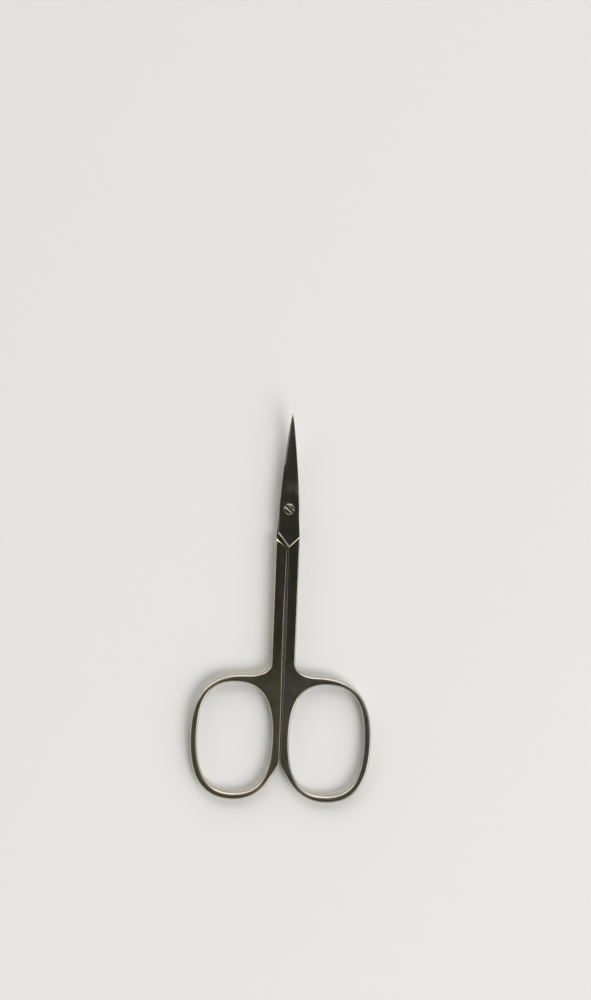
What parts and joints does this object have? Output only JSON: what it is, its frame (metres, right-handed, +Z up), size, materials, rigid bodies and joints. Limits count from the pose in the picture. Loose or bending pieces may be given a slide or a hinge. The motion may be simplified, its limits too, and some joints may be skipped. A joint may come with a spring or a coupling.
{
  "type": "curved nail scissors",
  "caption": "Small curved cuticle scissors: crossed halves with oval finger bows turn on a slotted pivot screw, tips curving up.",
  "frame": {"origin": "centre of the closed scissors' footprint on the table they lie on", "axes": "+Y along the tool to the blade tips, +Z up from the table to the screw's slotted head, +X to the front half's bow; the pivot axis is parallel to Z at x = 0, y = 0.02265"},
  "size_m": [0.0416, 0.0888, 0.0063],
  "materials": {
    "front_nickel": "polished nickel plate on carbon steel",
    "rear_nickel": "polished nickel plate on carbon steel",
    "screw_nickel": "turned and nickel plated, fine turning marks"
  },
  "bodies": {
    "rear_body": {"rear_half": "rear_nickel", "pivot_screw": "screw_nickel"},
    "front_body": {"front_half": "front_nickel"}
  },
  "joints": [
    {"name": "pivot", "type": "hinge", "parent": "rear_body", "child": "front_body", "pos_m": [0, 0.02265, 0.0015], "axis": [0, 0, 1], "range_deg": [0, 70]}
  ]
}
